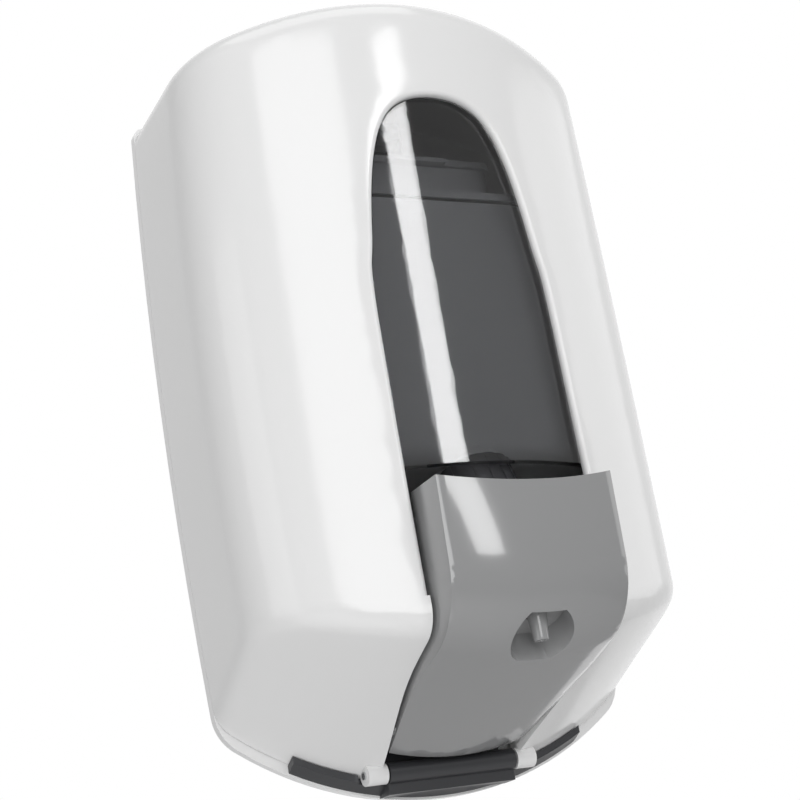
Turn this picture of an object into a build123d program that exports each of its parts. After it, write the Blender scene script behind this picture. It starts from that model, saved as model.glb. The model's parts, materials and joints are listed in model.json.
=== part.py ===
"""Wall mounted push-lever soap dispenser, every length in millimetres.

X runs across the wall, Y points into the wall and Z is up.  Shapes are drawn with z = 0 near the
foot of the case; export() shifts them so that the origin is the middle of the wall-hole pattern.
"""
import os
from math import sqrt

from build123d import *

os.makedirs("parts", exist_ok=True)

# ---------------------------------------------------------------- driving dimensions
HOLE_Z = 130.0            # height of the wall-hole pattern's middle above the foot
CASE_TOP = 240.0          # crown of the top arc
HALF_W = {-8.0: 68.0, 112.0: 74.0, 244.0: 71.5}      # half width of the barrel-shaped case
DEPTH = {-8.0: 76.0, 112.0: 75.0, 244.0: 78.0}       # wall to the middle of the front
FRONT_R = 115.0           # plan radius of the front
CORNER_R = 30.0           # plan radius of the front corners
TOP_R = 205.0             # elevation radius of the top
CHIN_K = 0.0054           # rise of the chin towards the sides, 1/mm
CHIN_LOW = 2.0            # chin height in the middle of the wall edge
CHIN_SLOPE = 0.45         # rise of the chin towards the front
WALL = 2.5                # case wall
EDGE_R = 10.0             # rounding of the top edge and of the chin crease
LIP_R = 1.4               # rounding round the window opening
LIP_FOOT = 45.0           # where that rounding ends beside the lever
PLATE_T = 3.0             # back plate
PLATE_CORNER = 4.0        # rounding of its top corners
CASE_GAP = 0.3            # running gap between case and plate

WINDOW_HALF = 30.0        # half width of the window opening and of the lever slot
WINDOW_TOP = 204.0
WINDOW_FOOT = 84.8        # lower edge of the window pane
SLOT_REAR_HALF = 23.6     # half width of the slot beside the hinge

HINGE = (-10.0, 8.4)      # y, z of the cover hinge
HINGE_PIN_R = 1.2
PIVOT = (-21.0, 19.0)     # y, z of the lever pivot
PIVOT_PIN_R = 1.5
BOSS_R = 3.2
RUN = 0.05                # radial running clearance of pins

TIP = (-75.0, 33.5)       # y, z of the nozzle tip
TILT = 22.8               # lean of the pump axis from upright
FLOOR_S = 6.0             # pump-axis distances from the tip upwards: finger-cup floor
COLLAR_S = 8.9            # stem collar that the lever pushes
NUT_S = 34.0
FLANGE_S = 46.0
NECK_S = 49.5
BARREL_TOP_S = 78.0

HINGE_SCREW = (14.0, 17.6)     # x, z of the screws through the hinge bar
CATCH_SCREW = (12.0, 222.0)    # x, z of the screws through the catch
TANK_SCREWS = (108.0, 158.0)   # heights of the tank screws
TANK_SCREW_X = 56.0

HOLE_DX = 116.0           # wall-hole pattern
HOLE_DZ = 150.0
HOLE_R = 2.6

TANK_HALF = 50.0
TANK_FRONT = -62.0
TANK_BACK = -8.0
TANK_FLOOR = 88.0
TANK_TOP = 174.0
TANK_WALL = 2.2
TANK_CORNER = 26.0        # plan radius of the tank's front corners


# ---------------------------------------------------------------- helpers
def export(shape, name):
    """Write one subcomponent with the wall-hole pattern's middle as origin."""
    moved = Pos(0, 0, -HOLE_Z) * shape
    if isinstance(moved, Compound) and len(moved.solids()) == 1:
        moved = moved.solids()[0]
    export_step(moved, f"parts/{name}.step")


def side_prism(points, x0, x1, radius=0.0, rounded=()):
    """Prism between two X positions from an outline given as (y, z) points."""
    face = make_face(Polyline([(x0, y, z) for y, z in points], close=True))
    solid = extrude(face, amount=x1 - x0, dir=(1, 0, 0))
    for y, z, r in rounded:
        edge = solid.edges().filter_by(Axis.X).sort_by_distance((0.5 * (x0 + x1), y, z))[0]
        solid = fillet(edge, r)
    return solid


def box(x0, x1, y0, y1, z0, z1):
    """Axis-aligned block from its limits."""
    return Pos((x0 + x1) / 2, (y0 + y1) / 2, (z0 + z1) / 2) * Box(x1 - x0, y1 - y0, z1 - z0)


def rod_x(y, z, radius, x0, x1):
    """Round bar along X."""
    return Pos((x0 + x1) / 2, y, z) * Rot(0, 90, 0) * Cylinder(radius, x1 - x0)


def rod_y(x, z, radius, y0, y1):
    """Round bar along Y."""
    return Pos(x, (y0 + y1) / 2, z) * Rot(90, 0, 0) * Cylinder(radius, y1 - y0)


PUMP = Location((0, TIP[0], TIP[1])) * Location((0, 0, 0), (-TILT, 0, 0))


def rod_s(radius, s0, s1):
    """Round bar on the pump axis between two distances from the nozzle tip."""
    return PUMP * (Pos(0, 0, (s0 + s1) / 2) * Cylinder(radius, s1 - s0))


def cone_s(r0, r1, s0, s1):
    """Cone on the pump axis, radius r0 at s0 and r1 at s1."""
    return PUMP * (Pos(0, 0, (s0 + s1) / 2) * Cone(r0, r1, s1 - s0))


def mirrored(shape):
    """A shape together with its mirror image in X."""
    return shape + shape.mirror(Plane.YZ)


# ---------------------------------------------------------------- case surfaces
def plan_section(z, inset):
    """D-shaped plan section of the case at height z, moved inwards by inset."""
    half, depth = HALF_W[z] - inset, DEPTH[z] - inset
    radius = FRONT_R - inset
    y_corner = -depth + radius - sqrt(radius**2 - half**2)
    back = Line((-half, 0, z), (half, 0, z))
    right = Line((half, 0, z), (half, y_corner, z))
    front = ThreePointArc((half, y_corner, z), (0, -depth, z), (-half, y_corner, z))
    left = Line((-half, y_corner, z), (-half, 0, z))
    face = make_face([back, right, front, left])
    corners = face.vertices().sort_by(Axis.Y)[:2]
    return fillet(corners, CORNER_R - inset)


def top_cut(inset):
    """Everything above the arched top."""
    radius = TOP_R - inset
    top = CASE_TOP - inset
    drop = radius - sqrt(radius**2 - 85**2)
    arc = ThreePointArc((-85, 10, top - drop), (0, 10, top), (85, 10, top - drop))
    rest = Polyline((85, 10, top - drop), (85, 10, 300), (-85, 10, 300), (-85, 10, top - drop))
    return extrude(make_face([arc, rest]), amount=120, dir=(0, -1, 0))


def below_chin(lift, slope=CHIN_SLOPE):
    """Everything below the chin surface raised by lift, rising forwards at slope."""
    side, rise = 85.0, CHIN_K * 85.0**2
    low = CHIN_LOW + lift - 10 * slope
    arc = ThreePointArc((-side, 10, low + rise), (0, 10, low), (side, 10, low + rise))
    rest = Polyline((side, 10, low + rise), (side, 10, low - 90), (-side, 10, low - 90),
                    (-side, 10, low + rise))
    reach = 120.0
    length = reach * sqrt(1 + slope**2)
    return extrude(make_face([arc, rest]), amount=length, dir=(0, -1, slope))


def case_volume(inset, edge_r):
    """Volume inside the case surface moved inwards by inset, with rounded top and chin edges."""
    body = loft([plan_section(z, inset) for z in HALF_W])
    body = body - top_cut(inset) - below_chin(inset * sqrt(1 + CHIN_SLOPE**2))
    body = body.solids()[0] if isinstance(body, ShapeList) else body
    rim = [e for e in body.edges() if e.center().Y < -1 and not e.geom_type == GeomType.LINE]
    rim = [e for e in rim if abs(e.tangent_at(0.5).Z) < 0.9]
    return fillet(rim, edge_r)


def arch_outline(half, top, foot, y):
    """Tall arch in elevation at depth y."""
    crown = Spline((0, y, top), (0.733 * half, y, top - 17), (0.933 * half, y, top - 50),
                   (half, y, top - 99), tangents=((1, 0, 0), (0, 0, -1)))
    leg = Line((half, y, top - 99), (half, y, foot))
    sill = Line((half, y, foot), (0, y, foot))
    middle = Line((0, y, foot), (0, y, top))
    face = make_face([crown, leg, sill, middle])
    return face


def arch_prism(half, top, foot, y0=-100.0, y1=-50.0):
    """Arch outline carried along Y."""
    return mirrored(extrude(arch_outline(half, top, foot, y0), amount=y1 - y0, dir=(0, 1, 0)))


def slot_plan(inset, y0, y1, z0, z1):
    """Plan prism of the lever slot, which narrows towards the hinge."""
    front, rear = WINDOW_HALF - inset, SLOT_REAR_HALF - inset
    edge = Spline((front, -58, z0), (front - 2.6, -34, z0), (rear, -12, z0),
                  tangents=((0, 1, 0), (-0.15, 1, 0)))
    rest = Polyline((rear, -12, z0), (rear, y1, z0), (0, y1, z0), (0, y0, z0), (front, y0, z0),
                    (front, -58, z0))
    return mirrored(extrude(make_face([edge, rest]), amount=z1 - z0, dir=(0, 0, 1)))


outer = case_volume(0.0, EDGE_R)
inner = case_volume(WALL, EDGE_R - WALL)

# ---------------------------------------------------------------- front cover
cover = outer - inner
cover = cover - box(-90, 90, -PLATE_T - CASE_GAP, 20, -20, 260)
cover = cover - arch_prism(WINDOW_HALF, WINDOW_TOP, LIP_FOOT)
cover = cover.solids()[0]
skin = outer.shells()[0]
rim = [e for e in cover.edges() if abs(e.center().X) < WINDOW_HALF + 0.5 and e.center().Z > 50]
rim = [e for e in rim if e.center().Y < -60 and skin.distance_to(Vertex(*e.center())) < 0.02]
cover = fillet(rim, LIP_R)
cheek = box(WINDOW_HALF, WINDOW_HALF + 6, -95, -50, LIP_FOOT - 5, LIP_FOOT + 2)
cover = cover + mirrored((outer - inner) & cheek)
cover = cover - box(-WINDOW_HALF, WINDOW_HALF, -95, -50, 36, LIP_FOOT + 3)
cover = cover - slot_plan(0.0, -95, 5, -10, 55)
hinge_boss = rod_x(*HINGE, BOSS_R, 22.4, 29.0) + side_prism(
    [(-13, 8), (-7, 8), (-7, 14), (-13, 18)], 24.0, 29.0)
pivot_boss = rod_x(*PIVOT, BOSS_R, 23.9, 31.0) + box(24.4, 31.0, -24.0, -18.0, 13.5, 19)
pivot_boss = pivot_boss - slot_plan(0.0, -95, 5, -10, 60)
cover = cover + mirrored((hinge_boss + pivot_boss) & (outer + rod_x(*HINGE, BOSS_R, 20, 32)))
for x in (-1, 1):
    cover = cover - rod_x(*HINGE, HINGE_PIN_R + RUN, *sorted((x * 20, x * 40)))
    cover = cover - rod_x(*PIVOT, PIVOT_PIN_R, *sorted((x * 20, x * 30)))
cover = cover - box(-45, 45, -4.3, 0, -5, 13)

# ---------------------------------------------------------------- striker plate on the cover
striker = box(-20.5, 20.5, -15.5, -14.2, 218, 230)
cover = cover - box(-21, 21, -14.2, -8.5, 210, 231.5)
cover = cover + mirrored(box(17, 20.5, -14.2, -10, 218, 239) & inner)
export(cover, "front_cover")
export(striker, "striker_plate")

# ---------------------------------------------------------------- window pane
pane = case_volume(WALL + 0.3, EDGE_R - WALL) - case_volume(WALL + 2.4, EDGE_R - WALL - 2)
pane = pane & arch_prism(WINDOW_HALF + 4, WINDOW_TOP + 4, WINDOW_FOOT)
raised = case_volume(2.0, EDGE_R) - case_volume(WALL + 2.0, EDGE_R - WALL - 2)
raised = raised & arch_prism(WINDOW_HALF - 0.4, WINDOW_TOP - 0.4, WINDOW_FOOT)
window = (pane + raised).solids()[0]
export(window, "window")

# ---------------------------------------------------------------- push lever
SKIN = 2.3
LEVER_R = 125.0           # plan radius of the lever face
LEVER_BEND = 24.0         # radius between the face and the underside
LEVER_DIP = 3.0           # sag of the top edge in the middle
LEVER_DIP_R = 136.0
LEVER_TOP = 77.4
LEVER_LEAN = 3.0          # degrees the face leans out towards its top
LEVER_REAR = -16.5
LEVER_K = 0.0060          # rise of the lever's underside towards its sides, 1/mm
CHIN_CORNER = (-84.5, 32.6)
CHIN_END = (-23.0, 12.5)
LEVER_SLOPE = (CHIN_CORNER[1] - CHIN_END[1]) / (CHIN_END[0] - CHIN_CORNER[0])


def lever_block(inset):
    """Lever volume moved inwards by inset: barrel-shaped face, arched underside, big round bend."""
    low = CHIN_CORNER[1] + 1.05 * inset
    block = side_prism([(-95.0, LEVER_TOP + 8), (-95.0, low + LEVER_SLOPE * 11 - 6),
                        (LEVER_REAR, CHIN_END[1] - 12), (LEVER_REAR, PIVOT[1] + 2),
                        (PIVOT[0], PIVOT[1] + 3.4), (-58.0, 47.0), (-67.0, 62.0),
                        (-68.5, LEVER_TOP + 8)], -35, 35)
    face = Pos(0, -86.0 + LEVER_R, 60) * Rot(LEVER_LEAN, 0, 0) * Cylinder(LEVER_R - inset, 200)
    block = block & face & slot_plan(1.3 + inset, -95, 5, 0, 90)
    side, rise = 40.0, LEVER_K * 40.0**2
    start = CHIN_END[0] + 13
    foot = CHIN_END[1] + 1.05 * inset - LEVER_SLOPE * 13
    arc = ThreePointArc((-side, start, foot + rise), (0, start, foot), (side, start, foot + rise))
    rest = Polyline((side, start, foot + rise), (side, start, foot - 60), (-side, start, foot - 60),
                    (-side, start, foot + rise))
    under = extrude(make_face([arc, rest]), amount=100 * sqrt(1 + LEVER_SLOPE**2),
                    dir=(0, -1, LEVER_SLOPE))
    block = (block - under).solids().sort_by(SortBy.VOLUME)[-1]
    bend = [e for e in block.edges() if e.center().Y < -78 and e.center().Z < 45 and e.length > 40]
    block = fillet([e for e in bend if abs(e.center().X) < 2], LEVER_BEND - inset)
    dip_z = LEVER_TOP - inset - LEVER_DIP + LEVER_DIP_R
    dip = Pos(0, -75, dip_z) * Rot(90, 0, 0) * Cylinder(LEVER_DIP_R, 60)
    return block - dip


shell = lever_block(0.0)
core = lever_block(SKIN)
open_back = side_prism([(-79, 95), (-79.5, 60), (-66, 44), (-30, 24), (-16, 26), (-20, 95)],
                       -27.2 + SKIN, 27.2 - SKIN)
lever = shell - core - (open_back & slot_plan(1.3 + SKIN, -95, 5, 0, 95))
cup_wall = rod_s(12.0, -14, FLOOR_S + 2) & PUMP * (Pos(0, 0.9, 0) * Box(30, 20.2, 60)) & shell
cup = rod_s(9.8, -20, FLOOR_S) & PUMP * (Pos(0, 0.2, 0) * Box(30, 16.4, 60))
spout = Pos(0, TIP[0], TIP[1] + 3.8) * Cone(2.1, 3.4, 12)
lever = lever + cup_wall - cup
lever = lever + (spout & rod_s(12.0, -20, FLOOR_S + 1))
lever = lever - Pos(0, TIP[0], TIP[1]) * Cylinder(1.2, 40)
lever = lever - cone_s(0.8, 3.2, FLOOR_S - 2, FLOOR_S + 2.01)
lever = lever + rod_x(*PIVOT, 3.4, -22.3, 22.3)
ear = side_prism([(-26.0, 14.4), (-21.0, 15.4), (-17.8, 18.0), (-19.5, 22.2), (-36.0, 27.0),
                  (-40.0, 21.0)], -22.3, 22.3)
lever = lever + (ear & shell)
lever = lever - rod_x(*PIVOT, PIVOT_PIN_R + RUN, -30, 30)
lever = lever.solids().sort_by(SortBy.VOLUME)[-1]
export(lever, "push_lever")
for x, side in ((-1, "left"), (1, "right")):
    export(rod_x(*PIVOT, PIVOT_PIN_R, *sorted((x * 14, x * 30))), f"lever_pin_{side}")

# ---------------------------------------------------------------- back plate
low_z, mid_z, high_z = HALF_W
sides = [ThreePointArc((x * HALF_W[low_z], 0, low_z), (x * HALF_W[mid_z], 0, mid_z),
                       (x * HALF_W[high_z], 0, high_z)) for x in (-1, 1)]
ends = [Line(sides[0] @ t, sides[1] @ t) for t in (0, 1)]
plate = extrude(make_face(sides + ends), amount=PLATE_T, dir=(0, -1, 0))
plate = (plate - top_cut(0.0) - below_chin(-CHIN_LOW, 0.0)).solids()[0]
plate = fillet([e for e in plate.edges().filter_by(Axis.Y) if e.center().Z > 120], PLATE_CORNER)
low_edges = [e for e in plate.edges().filter_by(Axis.Y) if e.center().Z < 60]
plate = fillet([e for e in low_edges if abs(e.center().X) > 60], 14.0)
rib = loft([plan_section(z, WALL + 0.6) for z in HALF_W])
rib = rib - loft([plan_section(z, WALL + 2.6) for z in HALF_W])
rib = rib & box(-90, 90, -8.0, -PLATE_T, 75, 205)
plate = plate + rib
for x in (-1, 1):
    for z in TANK_SCREWS:
        plate = plate + rod_y(x * TANK_SCREW_X, z, 5.0, -8.0, -1.0)
        plate = plate - rod_y(x * TANK_SCREW_X, z, 1.7, -9.0, -0.9)
    for z in (-1, 1):
        plate = plate - rod_y(x * HOLE_DX / 2, HOLE_Z + z * HOLE_DZ / 2, HOLE_R, -9, 1)
    for at, z in (HINGE_SCREW, CATCH_SCREW):
        plate = plate - rod_y(x * at, z, 1.2, -9, -0.8)
export(plate, "back_plate")

# ---------------------------------------------------------------- hinge bar, pin and screws
strip = box(-50, 50, -7.6, -PLATE_T, -12, 40) - below_chin(-CHIN_LOW - 0.6)
strip = strip & below_chin(-0.4)
barrel = rod_x(*HINGE, BOSS_R, -21.8, 21.8)
web = box(-21.8, 21.8, HINGE[0], -PLATE_T, 2.0, 11.0) + box(-20, 20, -6.0, -PLATE_T, 9.0, 21.5)
hinge_bar = strip + web + barrel
for x in (-1, 1):
    hinge_bar = hinge_bar - rod_x(*HINGE, BOSS_R + 0.5, *sorted((x * 21.8, x * 30)))
    hinge_bar = hinge_bar - rod_y(x * HINGE_SCREW[0], HINGE_SCREW[1], 1.7, -12, 0)
hinge_bar = hinge_bar - rod_x(*HINGE, HINGE_PIN_R, -30, 30)
hinge_bar = hinge_bar.solids().sort_by(SortBy.VOLUME)[-1]
export(hinge_bar, "hinge_bar")
export(rod_x(*HINGE, HINGE_PIN_R, -29.5, 29.5), "hinge_pin")


def plate_screw(x, z, seat, head_r, shank_r, tip=-1.0):
    """Pan-head screw driven into the plate, with a cross recess."""
    screw = rod_y(x, z, shank_r, seat, tip) + rod_y(x, z, head_r, seat - 2.0, seat)
    wing = 2 * head_r - 1.4
    recess = Pos(x, seat - 2.0, z) * (Box(0.7, 2.0, wing) + Box(wing, 2.0, 0.7))
    return screw - recess


for x, side in ((-1, "left"), (1, "right")):
    at, z = HINGE_SCREW
    export(plate_screw(x * at, z, -6.0, 2.8, 1.2), f"hinge_screw_{side}")
    at, z = CATCH_SCREW
    export(plate_screw(x * at, z, -7.0, 2.8, 1.2), f"catch_screw_{side}")
    for z, level in zip(TANK_SCREWS, ("low", "high")):
        export(plate_screw(x * TANK_SCREW_X, z, -11.0, 3.2, 1.7), f"tank_screw_{side}_{level}")

# ---------------------------------------------------------------- magnetic catch on the plate
catch = box(-16, 16, -13.6, -PLATE_T, 216.0, 228.0)
catch = catch - box(-8, 8, -15, -8.6, 218.5, 225.5)
for x in (-1, 1):
    at, z = CATCH_SCREW
    catch = catch - rod_y(x * at, z, 1.7, -15, 0) - rod_y(x * at, z, 3.1, -15, -7.0)
export(catch, "catch_body")
export(box(-8, 8, -13.9, -8.6, 218.5, 225.5), "catch_magnet")

# ---------------------------------------------------------------- soap tank


def tank_block(inset, z0, z1):
    """Tank plan with rounded front corners."""
    half = TANK_HALF - inset
    block = box(-half, half, TANK_FRONT + inset, TANK_BACK - inset, z0, z1)
    front = [e for e in block.edges().filter_by(Axis.Z) if e.center().Y < -40]
    return fillet(front, TANK_CORNER - inset)


tank = tank_block(0, TANK_FLOOR, TANK_TOP)
tank = fillet([e for e in tank.faces().sort_by(Axis.Z)[0].edges() if e.center().Y < -9], 6.0)
neck = rod_s(11.0, NECK_S, 70)
tank = tank + neck + mirrored(box(45, 61, -11.0, TANK_BACK, 101, 115)
                              + box(45, 61, -11.0, TANK_BACK, 151, 165))
cavity = tank_block(TANK_WALL, TANK_FLOOR + TANK_WALL, TANK_TOP + 5)
cavity = fillet([e for e in cavity.faces().sort_by(Axis.Z)[0].edges() if e.center().Y < -11], 4.0)
tank = tank - cavity - rod_s(8.6, NECK_S - 1, 90)
for x in (-TANK_SCREW_X, TANK_SCREW_X):
    for z in TANK_SCREWS:
        tank = tank - rod_y(x, z, 2.0, -12, -7)
for s in (NECK_S + 1.5, NECK_S + 4.0):
    tank = tank + (rod_s(11.0, s, s + 1.0) - rod_s(8.6, s - 1, s + 2))
export(tank, "soap_tank")

# ---------------------------------------------------------------- tank lid, gasket and filler flap
gasket = tank_block(0.3, TANK_TOP, TANK_TOP + 1.0)
gasket = gasket - tank_block(TANK_WALL - 0.2, TANK_TOP - 1, TANK_TOP + 2)
export(gasket, "lid_gasket")
lid = tank_block(-0.6, TANK_TOP + 1.0, TANK_TOP + 3.5) & box(-60, 60, -80, TANK_BACK, 0, 300)
plug = tank_block(TANK_WALL + 0.3, TANK_TOP - 5, TANK_TOP + 1.0)
plug = plug - tank_block(TANK_WALL + 2.2, TANK_TOP - 6, TANK_TOP + 1.0)
collar_top = 190.0
collar = box(-28, 28, -55, -24, TANK_TOP + 1.0, collar_top)
collar = fillet(collar.edges().filter_by(Axis.Z), 6.0)
filler = fillet(box(-25.6, 25.6, -52.6, -26.4, 170, 200).edges().filter_by(Axis.Z), 4.0)
hinge_y, hinge_z = -21.0, collar_top + 1.2
ear_outline = [(-25, 176), (-19, 176), (-19, 191), (-21, 193.4), (-25, 189)]
ears = mirrored(side_prism(ear_outline, 14.5, 19.0))
land = box(-30, 30, -57, -22, TANK_TOP + 1.0, TANK_TOP + 3.5)
lid = (lid + plug + land + collar + ears) - filler
lid = lid - mirrored(rod_x(hinge_y, hinge_z, 1.0, 14, 19.5))
export(lid, "tank_lid")
low, high = collar_top + 0.3, collar_top + 2.5
flap = box(-28.6, 28.6, -55.8, -24.5, low, high)
flap = fillet(flap.edges().filter_by(Axis.Z), 5.0)
flap = flap + rod_x(hinge_y, hinge_z, 1.9, -14.2, 14.2)
flap = flap + box(-14.2, 14.2, -25.5, hinge_y, low, high)
flap = flap + box(-10, 10, -58.0, -55, low, high - 0.7)
flap = flap - rod_x(hinge_y, hinge_z, 1.0 + RUN, -30, 30)
export(flap, "filler_flap")
export(rod_x(hinge_y, hinge_z, 1.0, -18.8, 18.8), "flap_pin")

# ---------------------------------------------------------------- pump
barrel_tube = rod_s(8.5, FLANGE_S + 3.4, BARREL_TOP_S) + rod_s(10.6, FLANGE_S, FLANGE_S + 2.5)
barrel_tube = barrel_tube + rod_s(8.5, FLANGE_S, FLANGE_S + 4)
barrel_tube = barrel_tube - rod_s(7.0, FLANGE_S - 1, 72.0)
barrel_tube = barrel_tube - cone_s(3.6, 2.2, 72.0, 75.0) - rod_s(2.2, 74, 90)
export(barrel_tube, "pump_barrel")
export(rod_s(10.8, FLANGE_S + 2.5, NECK_S) - rod_s(8.5, 40, 60), "neck_gasket")
nut = rod_s(13.0, NUT_S + 6.0, NECK_S + 6.0) - rod_s(11.15, FLANGE_S, 60) - rod_s(4.4, 20, 60)
nut = nut - rod_s(9.0, NUT_S + 8.0, FLANGE_S + 1)
for k in range(18):
    rib_cut = PUMP * (Rot(0, 0, 20 * k) * Pos(13.2, 0, NECK_S + 0.5) * Box(0.9, 1.6, 12.5))
    nut = nut - rib_cut
export(nut, "pump_nut")

stem = rod_s(4.0, COLLAR_S + 1.5, 50.5) + rod_s(5.6, COLLAR_S, COLLAR_S + 2.0)
stem = stem - rod_s(2.5, COLLAR_S - 1, COLLAR_S + 0.6)
stem = stem + rod_s(6.2, 50.0, 51.5) + rod_s(3.2, 51.5, 57.0) + rod_s(5.4, 57.0, 58.0)
stem = stem - rod_s(1.5, -1, 70) - rod_s(2.6, 30.0, 70.0)
export(stem, "pump_stem")
seal = cone_s(6.2, 6.92, 51.5, 57.0) - rod_s(3.2, 50, 60) - cone_s(4.2, 6.3, 53.5, 57.01)
export(seal, "stem_seal")
nozzle = rod_s(2.5, COLLAR_S, COLLAR_S + 0.6) - rod_s(1.1, COLLAR_S - 1, COLLAR_S + 2)
export(nozzle, "nozzle_lip")
ball = PUMP * (Pos(0, 0, 32.2) * Sphere(2.2))
export(ball, "outlet_ball")
inlet = PUMP * (Pos(0, 0, 70.6) * Sphere(3.0))
export(inlet, "inlet_ball")
cage = rod_s(6.95, 66.6, 67.4) - rod_s(2.0, 60, 70)
for k in range(3):
    cage = cage - PUMP * (Rot(0, 0, 120 * k) * Pos(4.4, 0, 67) * Cylinder(1.3, 3))
export(cage, "ball_cage")

SPRING_0, SPRING_1, SPRING_WIRE = COLLAR_S + 2.0, NUT_S + 6.0, 0.55
turns = 6.0
span = SPRING_1 - SPRING_0 - 2 * SPRING_WIRE - 0.1
path = Helix(pitch=span / turns, height=span, radius=4.9)
spring = sweep(Plane(path @ 0, z_dir=path % 0) * Circle(SPRING_WIRE), path=path)
spring = PUMP * (Pos(0, 0, SPRING_0 + SPRING_WIRE + 0.05) * spring)
export(spring, "pump_spring")
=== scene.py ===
# %% [markdown]
# # A wall mounted push-lever soap dispenser
#
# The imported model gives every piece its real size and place, in metres. This lesson adds what the
# sizes don't say: how each plastic, steel and rubber piece looks, and the soft light round them.

# %% Load the model
import json
import math

import bmesh
import bpy
from mathutils import Matrix, Vector

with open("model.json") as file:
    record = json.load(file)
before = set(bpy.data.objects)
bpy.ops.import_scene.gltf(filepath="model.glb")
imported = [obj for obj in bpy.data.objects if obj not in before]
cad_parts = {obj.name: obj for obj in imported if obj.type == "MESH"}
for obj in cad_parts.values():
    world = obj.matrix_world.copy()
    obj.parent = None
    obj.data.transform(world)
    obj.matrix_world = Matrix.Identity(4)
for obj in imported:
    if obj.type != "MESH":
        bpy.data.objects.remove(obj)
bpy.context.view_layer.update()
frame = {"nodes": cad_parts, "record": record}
nodes = frame["nodes"]

# %% [markdown]
# ## Where the viewer stands
#
# A dispenser hangs at chest height, so it is looked at from its left and from a little below.
# A camera could be aimed with a Track To constraint, but three unit vectors make the aim and the
# roll plain: one points right, one up, and one back from the object to the lens.

# %% Camera
AZIMUTH, ELEVATION, ROLL = math.radians(-28.9), math.radians(-19.0), math.radians(10.16)
DISTANCE = 0.5079
AIM = Vector((0.0, -0.0413, -0.0002))
SHIFT_LEFT, SHIFT_DOWN = 0.01053, 0.01125
side = Vector((math.cos(AZIMUTH), math.sin(AZIMUTH), 0.0))
back = Vector((math.sin(AZIMUTH) * math.cos(ELEVATION), -math.cos(AZIMUTH) * math.cos(ELEVATION),
               math.sin(ELEVATION)))
above = back.cross(side)
right = math.cos(ROLL) * side - math.sin(ROLL) * above
top = math.sin(ROLL) * side + math.cos(ROLL) * above
camera = bpy.data.objects.new("camera", bpy.data.cameras.new("camera"))
camera.data.sensor_width = 36.0
camera.data.lens = 73.0
camera.data.clip_start = 0.01
turn = Matrix((right, top, back)).transposed().to_4x4()
eye = AIM + DISTANCE * back - SHIFT_LEFT * side - SHIFT_DOWN * above
camera.matrix_world = Matrix.Translation(eye) @ turn
bpy.context.collection.objects.link(camera)
bpy.context.scene.camera = camera
print("camera stands at", [round(v, 3) for v in eye])

# %% [markdown]
# ## A bright studio
#
# White glossy plastic shows its shape through what it mirrors. A plain white room would leave it
# flat, so the room is white behind the object and much greyer everywhere else. The world's own
# direction vector is enough for the change from grey to white, so no picture is needed.

# %% World
BEHIND = (0.457, 0.828, 0.326)
ROOM_GREY, ROOM_WHITE = 0.24, 1.0
world = bpy.data.worlds.new("studio")
bpy.context.scene.world = world
world.use_nodes = True
sky = world.node_tree
sky.nodes.clear()
direction = sky.nodes.new("ShaderNodeTexCoord")
facing = sky.nodes.new("ShaderNodeVectorMath")
facing.operation = "DOT_PRODUCT"
facing.inputs[1].default_value = BEHIND
spread = sky.nodes.new("ShaderNodeMapRange")
spread.interpolation_type = "SMOOTHSTEP"
spread.inputs["From Min"].default_value = 0.35
spread.inputs["From Max"].default_value = 0.88
spread.inputs["To Min"].default_value = ROOM_GREY
spread.inputs["To Max"].default_value = ROOM_WHITE
glow = sky.nodes.new("ShaderNodeBackground")
out = sky.nodes.new("ShaderNodeOutputWorld")
sky.links.new(direction.outputs["Generated"], facing.inputs[0])
sky.links.new(facing.outputs["Value"], spread.inputs["Value"])
sky.links.new(spread.outputs["Result"], glow.inputs["Color"])
sky.links.new(glow.outputs["Background"], out.inputs["Surface"])
bpy.context.scene.view_settings.view_transform = "Standard"
print("world ready")

# %% [markdown]
# Each light is a glowing rectangle. A narrow bright strip gives the window and the lever one band in
# line. The wide key shapes the left of the front, and three weak fills lift the sides and the chin.

# %% Soft lights


def softbox(name, azimuth, elevation, distance, width, height, power):
    """Rectangular light that faces the middle of the dispenser."""
    a, e = math.radians(azimuth), math.radians(elevation)
    away = Vector((math.sin(a) * math.cos(e), -math.cos(a) * math.cos(e), math.sin(e)))
    lamp = bpy.data.lights.new(name, "AREA")
    lamp.shape = "RECTANGLE"
    lamp.size, lamp.size_y, lamp.energy = width, height, power
    holder = bpy.data.objects.new(name, lamp)
    holder.location = AIM + away * distance
    holder.rotation_euler = away.to_track_quat("Z", "Y").to_euler()
    bpy.context.collection.objects.link(holder)
    return holder


softbox("strip", 15, 19, 1.75, 0.26, 0.75, 4.0)
softbox("fill_right", 80, 10, 1.7, 0.9, 1.2, 3.5)
softbox("key", -18, 8, 1.7, 0.8, 1.6, 12.5)
softbox("fill_left", -78, 0, 1.7, 1.0, 1.6, 4.5)
softbox("fill_low", -60, -45, 1.2, 0.8, 0.8, 1.0)
softbox("overhead", 0, 75, 1.6, 1.4, 1.0, 6)

# %% [markdown]
# ## The floor
#
# The dispenser hangs on a wall well above the floor, so the floor is only a pale sheet far below.

# %% Floor
FLOOR_HALF, FLOOR_Z = 2.5, -1.3
sheet = bmesh.new()
bmesh.ops.create_grid(sheet, x_segments=1, y_segments=1, size=FLOOR_HALF)
bmesh.ops.translate(sheet, verts=sheet.verts, vec=(0, 0, FLOOR_Z))
floor_mesh = bpy.data.meshes.new("floor")
sheet.to_mesh(floor_mesh)
sheet.free()
floor = bpy.data.objects.new("floor", floor_mesh)
bpy.context.collection.objects.link(floor)
print("floor lies at", FLOOR_Z)

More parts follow.
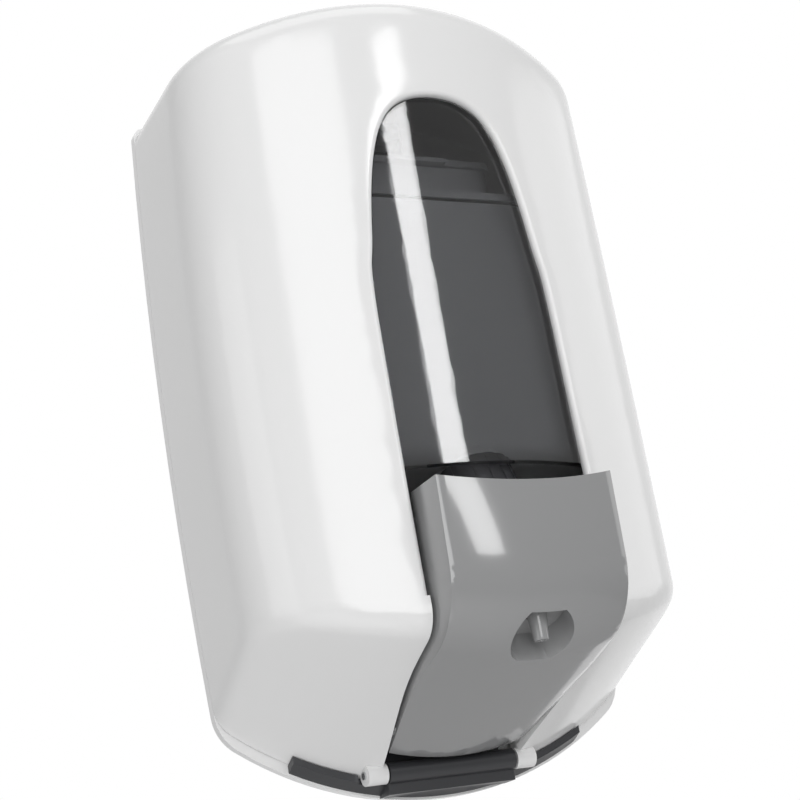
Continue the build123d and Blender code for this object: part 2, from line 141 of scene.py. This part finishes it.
# %% [markdown]
# ## Finishes
#
# Moulded plastic is never one flat value: the tool's polish leaves a fine orange-peel, so gloss
# wavers slowly. One helper builds that for every plastic, and each piece gives its own colour,
# gloss and grain. Fixed numbers go straight onto the shader's sockets.

# %% Plastic helper


def new_finish(name):
    """Empty material with one Principled shader."""
    finish = bpy.data.materials.new(name)
    finish.use_nodes = True
    return finish, finish.node_tree, finish.node_tree.nodes["Principled BSDF"]


def add_grain(tree, shader, scale, depth, strength, detail=4.0):
    """Fine surface relief read from the piece's own coordinates."""
    coords = tree.nodes.new("ShaderNodeTexCoord")
    noise = tree.nodes.new("ShaderNodeTexNoise")
    noise.inputs["Scale"].default_value = scale
    noise.inputs["Detail"].default_value = detail
    relief = tree.nodes.new("ShaderNodeBump")
    relief.inputs["Distance"].default_value = depth
    relief.inputs["Strength"].default_value = strength
    tree.links.new(coords.outputs["Object"], noise.inputs["Vector"])
    tree.links.new(noise.outputs["Fac"], relief.inputs["Height"])
    tree.links.new(relief.outputs["Normal"], shader.inputs["Normal"])
    return coords, noise


def add_variation(tree, shader, coords, socket, scale, low, high):
    """Slow change of one value over the surface."""
    cloud = tree.nodes.new("ShaderNodeTexNoise")
    cloud.inputs["Scale"].default_value = scale
    cloud.inputs["Detail"].default_value = 2.0
    limits = tree.nodes.new("ShaderNodeMapRange")
    limits.inputs["To Min"].default_value = low
    limits.inputs["To Max"].default_value = high
    tree.links.new(coords.outputs["Object"], cloud.inputs["Vector"])
    tree.links.new(cloud.outputs["Fac"], limits.inputs["Value"])
    tree.links.new(limits.outputs["Result"], shader.inputs[socket])


def moulded(name, colour, gloss, grain_scale, grain_depth, coat=0.0):
    """Opaque moulded plastic. gloss is (smoothest, roughest)."""
    finish, tree, shader = new_finish(name)
    shader.inputs["Base Color"].default_value = (*colour, 1.0)
    shader.inputs["IOR"].default_value = 1.52
    shader.inputs["Coat Weight"].default_value = coat
    shader.inputs["Coat Roughness"].default_value = 0.05
    coords, noise = add_grain(tree, shader, grain_scale, grain_depth, 0.25)
    add_variation(tree, shader, coords, "Roughness", 35.0, *gloss)
    return finish


finishes = {}
finishes["white"] = moulded("white_gloss_plastic", (0.86, 0.86, 0.86), (0.11, 0.16), 260.0, 0.00004)
finishes["grey"] = moulded("grey_gloss_plastic", (0.31, 0.312, 0.315), (0.09, 0.14), 300.0, 0.00004, 0.6)
finishes["dark"] = moulded("dark_satin_plastic", (0.045, 0.046, 0.05), (0.3, 0.4), 500.0, 0.0001)
finishes["nut"] = moulded("union_nut_plastic", (0.05, 0.05, 0.055), (0.32, 0.45), 500.0, 0.0001)
finishes["pump_white"] = moulded("pump_acetal", (0.62, 0.62, 0.6), (0.25, 0.33), 400.0, 0.00006)
finishes["rubber"] = moulded("black_rubber", (0.02, 0.02, 0.02), (0.55, 0.7), 700.0, 0.00015)
finishes["magnet"] = moulded("sintered_ferrite", (0.06, 0.06, 0.065), (0.4, 0.55), 900.0, 0.0001)
print("plastics:", sorted(finishes))

# %% [markdown]
# ## Clear and cloudy plastics
#
# The level window is a smoked, glossy sheet that dims what is seen through it, under a clear coat
# that mirrors the strip light. The tank behind it is natural polypropylene, which scatters light, so
# it looks cloudy and hides what is inside.

# %% Window and tank finishes
smoke, tree, shader = new_finish("smoked_window")
shader.inputs["Base Color"].default_value = (0.62, 0.62, 0.63, 1.0)
shader.inputs["Transmission Weight"].default_value = 1.0
shader.inputs["IOR"].default_value = 1.49
shader.inputs["Coat Weight"].default_value = 0.8
shader.inputs["Coat Roughness"].default_value = 0.03
coords, noise = add_grain(tree, shader, 60.0, 0.00005, 0.1, 1.0)
add_variation(tree, shader, coords, "Roughness", 25.0, 0.03, 0.07)
finishes["smoke"] = smoke

cloudy, tree, shader = new_finish("natural_polypropylene")
shader.inputs["Base Color"].default_value = (0.50, 0.51, 0.52, 1.0)
shader.inputs["Subsurface Weight"].default_value = 0.35
shader.inputs["Subsurface Radius"].default_value = (0.004, 0.004, 0.004)
shader.inputs["Transmission Weight"].default_value = 0.15
coords, noise = add_grain(tree, shader, 180.0, 0.0001, 0.3)
add_variation(tree, shader, coords, "Roughness", 30.0, 0.28, 0.4)
finishes["tank"] = cloudy
print("clear finishes: smoke, tank")

# %% [markdown]
# ## Steel
#
# Pins, screws and the spring are drawn or turned stainless steel, so their fine marks run one way.
# Stretching a noise along one axis gives those marks without any picture.

# %% Steel finish
steel, tree, shader = new_finish("stainless_steel")
shader.inputs["Base Color"].default_value = (0.62, 0.63, 0.64, 1.0)
shader.inputs["Metallic"].default_value = 1.0
coords, noise = add_grain(tree, shader, 900.0, 0.00004, 0.3)
stretch = tree.nodes.new("ShaderNodeMapping")
stretch.inputs["Scale"].default_value = (0.15, 1.0, 1.0)
tree.links.new(coords.outputs["Object"], stretch.inputs["Vector"])
tree.links.new(stretch.outputs["Vector"], noise.inputs["Vector"])
add_variation(tree, shader, coords, "Roughness", 200.0, 0.2, 0.34)
finishes["steel"] = steel
print("finishes in all:", len(finishes))

# %% [markdown]
# ## Dressing the pieces
#
# The record names a material slot for every piece. The model's faces arrive as loose triangles, so
# a Weld joins them, and an Edge Split at 30 degrees keeps real edges crisp while curved skins
# shade smoothly. The pieces themselves stay where they are.

# %% Assign finishes
WELD_REACH, CRISP_ANGLE = 0.000002, math.radians(30)
slots = {s["node"]: s["material_slot"] for s in frame["record"]["subparts"]}
for name, piece in nodes.items():
    piece.data.materials.clear()
    piece.data.materials.append(finishes[slots[name]])
    for face in piece.data.polygons:
        face.use_smooth = True
    weld = piece.modifiers.new("weld", "WELD")
    weld.merge_threshold = WELD_REACH
    split = piece.modifiers.new("crisp_edges", "EDGE_SPLIT")
    split.split_angle = CRISP_ANGLE
print("finished", len(nodes), "pieces")

# %% [markdown]
# A moulded edge is never knife sharp. A narrow Bevel after the Weld turns the lever's outline into
# a thin round that catches the light, and leaves its faces where they are.

# %% Round the lever's edges
EDGE_ROUND = 0.0006
stack = nodes["push_lever"].modifiers
soft_edge = stack.new("soft_edge", "BEVEL")
soft_edge.width = EDGE_ROUND
soft_edge.segments = 2
soft_edge.limit_method = "ANGLE"
soft_edge.angle_limit = math.radians(40)
stack.move(stack.find("soft_edge"), stack.find("crisp_edges"))
print("lever modifiers:", [m.name for m in stack])
